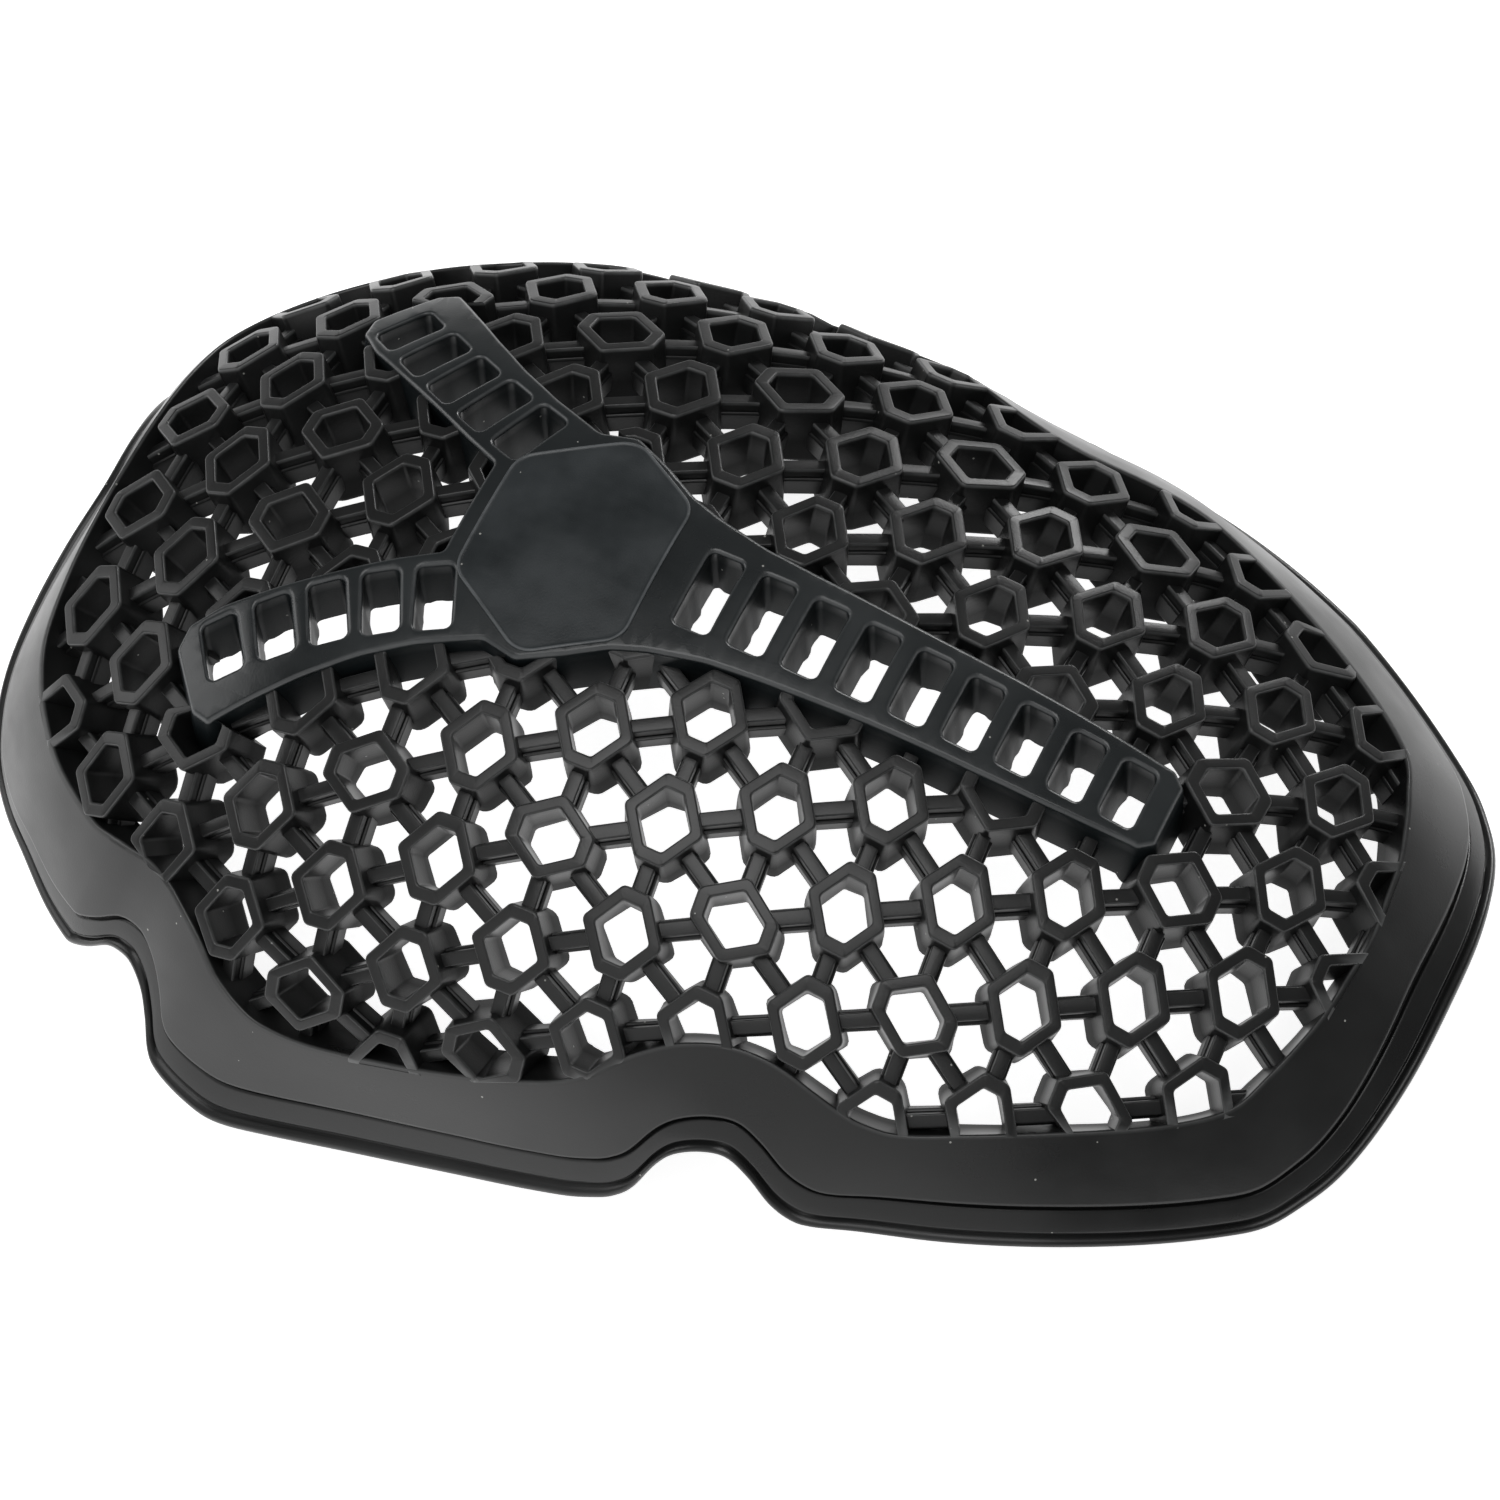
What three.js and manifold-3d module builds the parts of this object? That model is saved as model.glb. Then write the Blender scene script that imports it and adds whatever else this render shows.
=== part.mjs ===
// Shoulder protector: one black elastomer moulding, a dome of open hexagonal tubes joined by a thin web,
// a smooth flange with a sewing lip all round, and a stiff hub with three ladder arms on the crown.
// Millimetres, +Z up. The pattern is drawn flat: s runs from the neck end to the sleeve end,
// t runs across, w is the height above the outer face. The dome then bends the flat pattern.
// The part is its own mirror image in the plane t = 0.

import * as THREE from 'three';
import { TessellateModifier } from 'three/addons/modifiers/TessellateModifier.js';
import { mergeVertices } from 'three/addons/utils/BufferGeometryUtils.js';
import Module from 'manifold-3d';

// Lattice of tubes
const PITCH = 18;                   // from one tube to each of its six neighbours
const COLUMN = PITCH * Math.sqrt(3) / 2;
const TUBE_DEPTH = 10;
const TUBE_HALF_LENGTH = 6.8;       // to the short end flats
const TUBE_HALF_WIDTH = 6.7;        // to the side corners
const TUBE_FLAT = 4.4;              // width of a short end flat
const TUBE_DRAFT = 1.16;            // foot over mouth, outside
const HOLE_MOUTH = 0.63;            // hole over tube, at the mouth
const HOLE_DRAFT = 0.88;            // foot over mouth, inside
const TURNED_EVERY = 4;             // every fourth half-row of tubes lies the other way round
const WEB_THICKNESS = 3.2;          // of the web that joins the tubes' feet
const HALF_TUBE_REACH = 3.5;        // how far past the flange's inner line a tube's centre may lie
const HOLE_REACH = 1.5;             // how far inside it, and clear of the arms, an open tube's centre lies

// Flange: its section from the foot of the inner wall out to the lip's edge and back over the top
const FLANGE_SECTION = [
  { from: 'inner', out: 0, w: -9 },
  { from: 'edge', out: -0.6, w: -7.2 },
  { from: 'edge', out: 0, w: -5.8 },
  { from: 'edge', out: -0.8, w: -4.8 },
  { from: 'edge', out: -7, w: -4.6 },
  { from: 'edge', out: -7.6, w: -3.2 },
  { from: 'inner', out: 0, w: -0.3 },
];
const FLARE = 3;                    // how far the lip rises on the flanks towards the sleeve end
const FLARE_DRAW = 0.5;             // how far it is drawn in there, over that rise
const FLARE_SPAN = [15, 55, 105, 142]; // s where the flare starts, is full, starts to end and ends

// Flange outline from the neck end to the sleeve end: the lip's edge and the inner line facing the tubes
const OUTLINE = [
  { edge: [-98.9, 0], inner: [-86.4, 0] },
  { edge: [-100.8, -11.9], inner: [-86.7, -11.2] },
  { edge: [-103.6, -23.6], inner: [-87, -21.8] },
  { edge: [-106.4, -35.5], inner: [-86.5, -32.5] },
  { edge: [-106.6, -44.7], inner: [-83.3, -40.4] },
  { edge: [-104.5, -54.2], inner: [-79.3, -46.4] },
  { edge: [-98.5, -63], inner: [-74, -52.6] },
  { edge: [-89.5, -70.7], inner: [-67.7, -57.7] },
  { edge: [-81, -78.2], inner: [-61.6, -61.7] },
  { edge: [-70.9, -84.2], inner: [-55.2, -63.8] },
  { edge: [-66, -84.2], inner: [-52.4, -64.7] },
  { edge: [-60.6, -83.3], inner: [-48.9, -65.7] },
  { edge: [-54, -85.6], inner: [-43.3, -69] },
  { edge: [-51.2, -89.6], inner: [-39.8, -72.3] },
  { edge: [-49.8, -94.4], inner: [-35.9, -76.4] },
  { edge: [-48.9, -99.4], inner: [-33, -80.2] },
  { edge: [-46.7, -102.4], inner: [-30.8, -82.7] },
  { edge: [-40.6, -106], inner: [-27, -85.8] },
  { edge: [-33.6, -108.5], inner: [-22.8, -88.1] },
  { edge: [-23.1, -109.3], inner: [-14.9, -89.5] },
  { edge: [-9.4, -109.2], inner: [-4.6, -89.1] },
  { edge: [4.9, -108.2], inner: [7.8, -87.2] },
  { edge: [19.7, -106], inner: [20.1, -83.7] },
  { edge: [31.8, -103.1], inner: [27.4, -80.6] },
  { edge: [42, -98.4], inner: [34.1, -75.3] },
  { edge: [44.6, -95.5], inner: [37.1, -71.9] },
  { edge: [47.2, -89.7], inner: [42, -67.6] },
  { edge: [49.6, -86.3], inner: [46.5, -64.8] },
  { edge: [53.6, -83.5], inner: [51.9, -62.6] },
  { edge: [57.6, -82.2], inner: [57.6, -61.7] },
  { edge: [67, -85.7], inner: [67.8, -62.8] },
  { edge: [71.3, -86.3], inner: [72.3, -63.4] },
  { edge: [75.2, -85.4], inner: [76.6, -63.4] },
  { edge: [83, -81.9], inner: [82.4, -62] },
  { edge: [97.2, -76], inner: [91.9, -57.1] },
  { edge: [112.3, -68.8], inner: [104.5, -50.3] },
  { edge: [127.4, -60.9], inner: [117.3, -43.2] },
  { edge: [138, -54.6], inner: [125.8, -37.6] },
  { edge: [144.3, -49.9], inner: [130.4, -33.1] },
  { edge: [148.4, -43.7], inner: [133.2, -27.2] },
  { edge: [151.7, -36.7], inner: [135.4, -21.7] },
  { edge: [154.3, -26.8], inner: [137.6, -14.7] },
  { edge: [156.2, -14], inner: [138.7, -7.3] },
  { edge: [156.7, 0], inner: [139.5, 0] },
];

// Hub and arms: half of the outline, from the neck side of the hub to the tip of the long arm
const SPIDER_TOP = 0.8;
const SPIDER_FOOT = -9.2;
const SPIDER_OUTLINE = [
  [-18.4, 0], [-18.4, -8.8], [-25.5, -12.2], [-32.9, -16.2], [-41.5, -20.8], [-50, -25.6], [-54.5, -29.5],
  [-55, -33.5], [-47.8, -42.6], [-44.3, -43.8], [-38.5, -39.2], [-31.6, -34], [-23.5, -28.6], [-15.5, -24.4],
  [-6, -20.6], [0, -22], [7, -18.6], [13.1, -15], [18.3, -13.2], [27.3, -11.2], [36, -10.4], [45, -9.8],
  [54, -9.2], [63, -8.8], [72, -8.5], [81, -8.1], [90, -7.6], [100.2, -6.9], [102.6, -5], [102.6, 0],
];
// Ladder slots: where they start, the step to the next, and their length across at both ends of the row
const SLOT_WIDTH = 5.9;
const SLOT_CORNER = 1.1;
const LONG_ARM_SLOTS = { first: [22.8, 0], step: [9.05, 0], bend: [0, 0], count: 9, across: [14, 9.8] };
const SIDE_ARM_SLOTS = {
  first: [-16.3, -16.5], step: [-7.8, -3.1], bend: [0.1, -0.5], count: 5, across: [10.8, 9.8],
};

// Dome: the outer face as a short power series of the flat position, s in 100 mm and t in 80 mm
const S_UNIT = 100;
const T_UNIT = 80;
const DOME = [
  { s: 1, t: 0, x: 98.42, y: -0.86, z: 5.72 },
  { s: 2, t: 0, x: 1.93, y: 8.63, z: -21.74 },
  { s: 3, t: 0, x: -5.81, y: 3.79, z: 6.86 },
  { s: 4, t: 0, x: 2.05, y: -6.43, z: -1.9 },
  { s: 0, t: 2, x: 6.09, y: 4.29, z: -21.82 },
  { s: 1, t: 2, x: 5.35, y: 5.6, z: 9.64 },
  { s: 2, t: 2, x: 2.72, y: -23.47, z: -17.11 },
  { s: 3, t: 2, x: -4.3, y: 5.07, z: 0.25 },
  { s: 0, t: 4, x: -3.71, y: -17.64, z: -9.29 },
  { s: 1, t: 4, x: -7.76, y: -8.79, z: -4.93 },
  { s: 2, t: 4, x: -2.97, y: 12.92, z: 6.98 },
  { s: 0, t: 6, x: 1.09, y: 5.52, z: 2.51 },
  { s: 1, t: 6, x: 1.4, y: 2.79, z: 0.19 },
];
const REST_PITCH = THREE.MathUtils.degToRad(7.46); // lies on its side lobes and sleeve corners

const OVERLAP = 1;                  // how far joined pieces run into each other
const LONGEST_EDGE = 19;            // of the faces before bending

const wasm = await Module();
wasm.setup();

// A closed geometry as a solid
function solid(geometry) {
  const bare = geometry.clone();
  bare.deleteAttribute('normal');
  bare.deleteAttribute('uv');
  const merged = mergeVertices(bare, 1e-4);
  return new wasm.Manifold(new wasm.Mesh({
    numProp: 3,
    vertProperties: Float32Array.from(merged.attributes.position.array),
    triVerts: Uint32Array.from(merged.index.array),
  }));
}

// A solid as a geometry again
function geometryOf(manifold) {
  const mesh = manifold.getMesh();
  const geometry = new THREE.BufferGeometry();
  const positions = new Float32Array(mesh.numVert * 3);
  for (let i = 0; i < mesh.numVert; i += 1) {
    for (let k = 0; k < 3; k += 1) {
      positions[3 * i + k] = mesh.vertProperties[mesh.numProp * i + k];
    }
  }
  geometry.setAttribute('position', new THREE.BufferAttribute(positions, 3));
  geometry.setIndex(new THREE.BufferAttribute(Uint32Array.from(mesh.triVerts), 1));
  return geometry;
}

// Point of the outer face above a flat position
function domePoint(s, t) {
  const point = new THREE.Vector3(0, T_UNIT, 0);
  for (const term of DOME) {
    const power = (s / S_UNIT) ** term.s * (t / T_UNIT) ** term.t;
    point.x += term.x * power;
    point.y += term.y * power;
    point.z += term.z * power;
  }
  point.y *= t / T_UNIT;
  return point;
}

// Bends a flat geometry onto the dome: w goes along the outer face's normal
function bend(geometry) {
  const position = geometry.attributes.position;
  const h = 0.5;
  for (let i = 0; i < position.count; i += 1) {
    const s = position.getX(i);
    const t = position.getY(i);
    const along = domePoint(s + h, t).sub(domePoint(s - h, t));
    const across = domePoint(s, t + h).sub(domePoint(s, t - h));
    const normal = along.cross(across).normalize();
    const point = domePoint(s, t).addScaledVector(normal, position.getZ(i));
    position.setXYZ(i, point.x, point.y, point.z);
  }
  return geometry;
}

// Upright prism over a flat outline, its foot drawn in or out by a ratio about the outline's own origin
function prism(points, top, foot, draft = 1, holes = []) {
  const shape = new THREE.Shape(points);
  shape.holes = holes.map((hole) => new THREE.Path(hole));
  const geometry = new THREE.ExtrudeGeometry(shape, { depth: top - foot, bevelEnabled: false });
  const position = geometry.attributes.position;
  for (let i = 0; i < position.count; i += 1) {
    const ratio = position.getZ(i) < 1e-6 ? draft : 1;
    position.setXYZ(i, position.getX(i) * ratio, position.getY(i) * ratio, position.getZ(i) + foot);
  }
  return geometry;
}

// Half outline and its mirror image as one ring of points
function ring(half) {
  const far = half.slice(1, -1).reverse().map(([s, t]) => [s, -t]);
  return [...half, ...far].map(([s, t]) => new THREE.Vector2(s, t));
}

// Moves a ring's corners outwards, or inwards if the distance is negative
function grow(points, distance) {
  const turn = Math.sign(THREE.ShapeUtils.area(points));
  return points.map((point, i) => {
    const before = points[(i + points.length - 1) % points.length];
    const after = points[(i + 1) % points.length];
    const run = after.clone().sub(before).normalize();
    return new THREE.Vector2(point.x + turn * distance * run.y, point.y - turn * distance * run.x);
  });
}

// Distance of a point inside a ring, negative outside
function depthInside(points, s, t) {
  let inside = false;
  let nearest = Infinity;
  points.forEach((a, i) => {
    const b = points[(i + 1) % points.length];
    if ((a.y > t) !== (b.y > t) && s < a.x + (b.x - a.x) * (t - a.y) / (b.y - a.y)) {
      inside = !inside;
    }
    const ab = b.clone().sub(a);
    const along = THREE.MathUtils.clamp(((s - a.x) * ab.x + (t - a.y) * ab.y) / ab.lengthSq(), 0, 1);
    nearest = Math.min(nearest, Math.hypot(s - a.x - along * ab.x, t - a.y - along * ab.y));
  });
  return inside ? nearest : -nearest;
}

const edgeRing = ring(OUTLINE.map((row) => row.edge));
const innerRing = ring(OUTLINE.map((row) => row.inner));
const spiderRing = ring(SPIDER_OUTLINE);

// Six corners of a tube, lengthways across the dome or turned along it
function tubeCorners(turned) {
  const corners = [
    [TUBE_FLAT / 2, TUBE_HALF_LENGTH], [-TUBE_FLAT / 2, TUBE_HALF_LENGTH], [-TUBE_HALF_WIDTH, 0],
    [-TUBE_FLAT / 2, -TUBE_HALF_LENGTH], [TUBE_FLAT / 2, -TUBE_HALF_LENGTH], [TUBE_HALF_WIDTH, 0],
  ];
  return corners.map(([s, t]) => (turned ? new THREE.Vector2(t, -s) : new THREE.Vector2(s, t)));
}

// Places of the tubes, by column and half-row, which of them are open and which way round they lie
function tubePlaces() {
  const places = [];
  for (let column = -7; column <= 10; column += 1) {
    for (let half = -13; half <= 13; half += 1) {
      const s = column * COLUMN;
      const t = half * PITCH / 2;
      const inField = depthInside(innerRing, s, t);
      if ((column + half) % 2 === 0 && inField > -HALF_TUBE_REACH) {
        const open = inField > HOLE_REACH && depthInside(spiderRing, s, t) < -HOLE_REACH;
        places.push({ s, t, open, turned: Math.abs(half) % TURNED_EVERY === 1 });
      }
    }
  }
  return places;
}

// Tubes in their web, flat, cut off at the flange's inner wall and round the hub and arms
function flatLattice() {
  const tubes = [];
  const holes = [];
  for (const { s, t, open, turned } of tubePlaces()) {
    const corners = tubeCorners(turned);
    tubes.push(solid(prism(corners, 0, -TUBE_DEPTH, TUBE_DRAFT).translate(s, t, 0)));
    if (open) {
      const mouth = corners.map((corner) => corner.clone().multiplyScalar(HOLE_MOUTH));
      holes.push(solid(prism(mouth, 1, -TUBE_DEPTH - 1, HOLE_DRAFT).translate(s, t, 0)));
    }
  }
  const field = solid(prism(grow(innerRing, OVERLAP), 3, -TUBE_DEPTH - 3));
  const crown = solid(prism(grow(spiderRing, -OVERLAP), 3, -TUBE_DEPTH - 3));
  const web = solid(prism(grow(innerRing, OVERLAP), WEB_THICKNESS - TUBE_DEPTH, -TUBE_DEPTH));
  const net = wasm.Manifold.union(tubes).intersect(field).add(web);
  return net.subtract(wasm.Manifold.union(holes)).subtract(crown);
}

// Rise of the lip at a station of the flange
function flareAt(s) {
  const [start, full, end, none] = FLARE_SPAN;
  const { clamp, inverseLerp } = THREE.MathUtils;
  return FLARE * Math.min(clamp(inverseLerp(start, full, s), 0, 1), clamp(inverseLerp(none, end, s), 0, 1));
}

// Flange: its section carried round the outline, rising with the distance from the inner line where it flares
function flatFlange() {
  const stations = edgeRing.length;
  const count = FLANGE_SECTION.length;
  const loop = [...FLANGE_SECTION.keys(), 0].map((k) => {
    const angle = 2 * Math.PI * k / count;
    return new THREE.Vector2(3 - Math.cos(angle), Math.sin(angle));
  });
  const geometry = new THREE.LatheGeometry(loop, stations);
  const position = geometry.attributes.position;
  for (let i = 0; i <= stations; i += 1) {
    const edge = edgeRing[i % stations];
    const inner = innerRing[i % stations];
    const outward = edge.clone().sub(inner).normalize();
    const width = edge.distanceTo(inner);
    const flare = flareAt(inner.x);
    for (let k = 0; k <= count; k += 1) {
      const row = FLANGE_SECTION[k % count];
      const reach = row.out + (row.from === 'edge' ? width : 0);
      const rise = flare * reach / width;
      const at = inner.clone().addScaledVector(outward, reach - FLARE_DRAW * rise);
      position.setXYZ(i * (count + 1) + k, at.x, at.y, row.w + rise);
    }
  }
  return geometry;
}

// Slot outlines of one arm, on both sides of the mirror plane if it has a twin
function armSlots(row, mirrored) {
  const slots = [];
  const at = new THREE.Vector2(...row.first);
  const step = new THREE.Vector2(...row.step);
  for (let i = 0; i < row.count; i += 1) {
    const a = SLOT_WIDTH / 2;
    const b = THREE.MathUtils.lerp(row.across[0], row.across[1], i / (row.count - 1)) / 2;
    const c = SLOT_CORNER;
    const corners = [
      [a, c - b], [a, b - c], [a - c, b], [c - a, b], [-a, b - c], [-a, c - b], [c - a, -b], [a - c, -b],
    ];
    const along = step.clone().normalize();
    const slot = corners.map(([p, q]) => [at.x + p * along.x - q * along.y, at.y + p * along.y + q * along.x]);
    slots.push(slot.map(([s, t]) => new THREE.Vector2(s, t)));
    if (mirrored) {
      slots.push(slot.map(([s, t]) => new THREE.Vector2(s, -t)));
    }
    at.add(step);
    step.add(new THREE.Vector2(...row.bend));
  }
  return slots;
}

// Hub and arms as one flat slab with its ladder slots
function flatSpider() {
  const slots = [...armSlots(LONG_ARM_SLOTS, false), ...armSlots(SIDE_ARM_SLOTS, true)];
  return prism(spiderRing, SPIDER_TOP, SPIDER_FOOT, 1, slots);
}

// Joined flat, then every long edge is split so that the faces follow the dome, then bent
const flat = flatLattice().add(solid(flatFlange())).add(solid(flatSpider()));
const split = new TessellateModifier(LONGEST_EDGE, 12).modify(geometryOf(flat));
const moulding = bend(mergeVertices(split, 1e-5));

// As it lies: turned down towards the sleeve end, the lowest point of the lip on the ground
moulding.rotateY(REST_PITCH);
moulding.computeBoundingBox();
const { min, max } = moulding.boundingBox;
moulding.translate(-(min.x + max.x) / 2, -(min.y + max.y) / 2, -min.z);
moulding.computeVertexNormals();

const elastomer = new THREE.MeshStandardMaterial({ color: 0x2b2d2e, roughness: 0.5, metalness: 0 });
const guard = new THREE.Mesh(moulding, elastomer);
guard.name = 'guard_moulding';

const protector = new THREE.Group();
protector.name = 'shoulder_protector';
protector.add(guard);

export default protector;
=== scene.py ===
"""Looks of the shoulder protector: one black elastomer moulding, lying on a pale floor.

The moulding is drawn flat and bent onto a dome, as the solid is. In the flat pattern s runs from the neck
end to the sleeve end, t runs across and w is the height above the outer face, all in millimetres.
"""

import logging
import math
from collections.abc import Sequence
from dataclasses import dataclass, field
from enum import Enum
from typing import Any

import bpy
import numpy as np
from mathutils import Matrix, Vector
from mathutils.geometry import delaunay_2d_cdt

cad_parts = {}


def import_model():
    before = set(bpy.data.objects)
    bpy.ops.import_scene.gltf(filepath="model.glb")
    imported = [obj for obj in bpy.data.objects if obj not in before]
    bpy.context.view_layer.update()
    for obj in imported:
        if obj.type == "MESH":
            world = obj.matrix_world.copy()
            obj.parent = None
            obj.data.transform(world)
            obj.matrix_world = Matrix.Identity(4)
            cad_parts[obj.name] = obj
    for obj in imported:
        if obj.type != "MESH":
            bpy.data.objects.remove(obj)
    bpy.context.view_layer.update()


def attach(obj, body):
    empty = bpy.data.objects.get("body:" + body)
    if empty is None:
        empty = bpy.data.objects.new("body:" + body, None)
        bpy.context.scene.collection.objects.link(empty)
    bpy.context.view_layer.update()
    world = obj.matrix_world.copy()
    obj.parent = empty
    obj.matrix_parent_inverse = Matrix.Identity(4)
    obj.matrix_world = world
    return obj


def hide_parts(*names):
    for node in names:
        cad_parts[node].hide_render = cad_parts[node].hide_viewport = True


log = logging.getLogger("shoulder_protector")

MM = 0.001
BODY = "root"
NODE = "guard_moulding"
DEPTH = "depth_mm"

# A length in millimetres that counts as none
TINY = 1e-6
# The turn between two faces from which their edge is shaded sharp
SHARP_EDGE = math.radians(50)

# Dome: powers of s and t, then the terms of x, y and z in millimetres
S_UNIT = 100.0
T_UNIT = 80.0
DOME_TERMS = np.array([
    [1, 0, 98.42, -0.86, 5.72],
    [2, 0, 1.93, 8.63, -21.74],
    [3, 0, -5.81, 3.79, 6.86],
    [4, 0, 2.05, -6.43, -1.9],
    [0, 2, 6.09, 4.29, -21.82],
    [1, 2, 5.35, 5.6, 9.64],
    [2, 2, 2.72, -23.47, -17.11],
    [3, 2, -4.3, 5.07, 0.25],
    [0, 4, -3.71, -17.64, -9.29],
    [1, 4, -7.76, -8.79, -4.93],
    [2, 4, -2.97, 12.92, 6.98],
    [0, 6, 1.09, 5.52, 2.51],
    [1, 6, 1.4, 2.79, 0.19],
])
REST_PITCH = math.radians(7.46)
REST_SHIFT = np.array([-23.904, 0.0, 62.035])

# The way in which the tool's cores went down into the hub and arms, in the dome's own frame
CORE_WAY = np.array([0.05, 0.0, -1.0])

# Flange outline from the neck end to the sleeve end: s and t of the lip's edge, s and t of the inner line
FLANGE_OUTLINE = np.array([
    [-98.9, 0, -86.4, 0], [-100.8, -11.9, -86.7, -11.2], [-103.6, -23.6, -87, -21.8],
    [-106.4, -35.5, -86.5, -32.5], [-106.6, -44.7, -83.3, -40.4], [-104.5, -54.2, -79.3, -46.4],
    [-98.5, -63, -74, -52.6], [-89.5, -70.7, -67.7, -57.7], [-81, -78.2, -61.6, -61.7],
    [-73.9, -83, -57.6, -63.1], [-70.9, -84.2, -55.2, -63.8], [-66, -84.2, -52.4, -64.7],
    [-60.6, -83.3, -48.9, -65.7], [-57, -83.9, -46.1, -67.1], [-54, -85.6, -43.3, -69],
    [-51.2, -89.6, -39.8, -72.3], [-49.8, -94.4, -35.9, -76.4], [-48.9, -99.4, -33, -80.2],
    [-46.7, -102.4, -30.8, -82.7], [-40.6, -106, -27, -85.8], [-33.6, -108.5, -22.8, -88.1],
    [-23.1, -109.3, -14.9, -89.5], [-9.4, -109.2, -4.6, -89.1], [4.9, -108.2, 7.8, -87.2],
    [19.7, -106, 20.1, -83.7], [31.8, -103.1, 27.4, -80.6], [38.5, -100.5, 31.4, -77.8],
    [42, -98.4, 34.1, -75.3], [44.6, -95.5, 37.1, -71.9], [47.2, -89.7, 42, -67.6],
    [49.6, -86.3, 46.5, -64.8], [53.6, -83.5, 51.9, -62.6], [57.6, -82.2, 57.6, -61.7],
    [62, -83.4, 62.4, -61.9], [67, -85.7, 67.8, -62.8], [71.3, -86.3, 72.3, -63.4],
    [75.2, -85.4, 76.6, -63.4], [83, -81.9, 82.4, -62], [97.2, -76, 91.9, -57.1],
    [112.3, -68.8, 104.5, -50.3], [127.4, -60.9, 117.3, -43.2], [138, -54.6, 125.8, -37.6],
    [144.3, -49.9, 130.4, -33.1], [148.4, -43.7, 133.2, -27.2], [151.7, -36.7, 135.4, -21.7],
    [154.3, -26.8, 137.6, -14.7], [156.2, -14, 138.7, -7.3], [156.7, 0, 139.5, 0],
])

# Hub and arms: half of the outline, from the neck side of the hub to the tip of the long arm
CROWN_OUTLINE = np.array([
    [-18.4, 0], [-18.4, -8.8], [-25.5, -12.2], [-32.9, -16.2], [-41.5, -20.8], [-50, -25.6],
    [-54.5, -29.5], [-55, -33.5], [-47.8, -42.6], [-44.3, -43.8], [-38.5, -39.2], [-31.6, -34],
    [-23.5, -28.6], [-15.5, -24.4], [-6, -20.6], [0, -22], [7, -18.6], [13.1, -15], [18.3, -13.2],
    [27.3, -11.2], [36, -10.4], [45, -9.8], [54, -9.2], [63, -8.8], [72, -8.5], [81, -8.1],
    [90, -7.6], [100.2, -6.9], [102.6, -5], [102.6, 0],
])


class Turn(Enum):
    """Which way round a tube lies."""

    ACROSS = "long side across the dome"
    ALONG = "long side along the dome"


class Edge(Enum):
    """What a point of the flange's section is measured from."""

    INNER = "inner line"
    TOP = "share of the way from the inner line to the step"
    LIP = "lip's edge"
    UNDER = "share of the way from the lip's edge to the inner line"


def linear(hex_colour: str) -> tuple[float, float, float, float]:
    """Turns an sRGB hex colour into linear light.

    Args:
        hex_colour: Six hex digits, red first.

    Returns:
        Linear red, green, blue and a full alpha.
    """
    parts = [int(hex_colour[i:i + 2], 16) / 255 for i in (0, 2, 4)]
    lit = [c / 12.92 if c <= 0.04045 else ((c + 0.055) / 1.055) ** 2.4 for c in parts]
    return (lit[0], lit[1], lit[2], 1.0)


def add_node(
    tree: bpy.types.NodeTree, kind: str, inputs: dict[str | int, Any], **settings: Any,
) -> bpy.types.Node:
    """Adds a node, sets it up and links it.

    Args:
        tree: The material's node tree.
        kind: The node's type name.
        inputs: Socket name or number to a value, or to the output socket that feeds it.
        **settings: Attributes of the node itself.

    Returns:
        The new node.
    """
    node = tree.nodes.new(kind)
    for name, value in settings.items():
        setattr(node, name, value)
    for name, value in inputs.items():
        if isinstance(value, bpy.types.NodeSocket):
            tree.links.new(value, node.inputs[name])
        else:
            node.inputs[name].default_value = value
    return node


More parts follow.
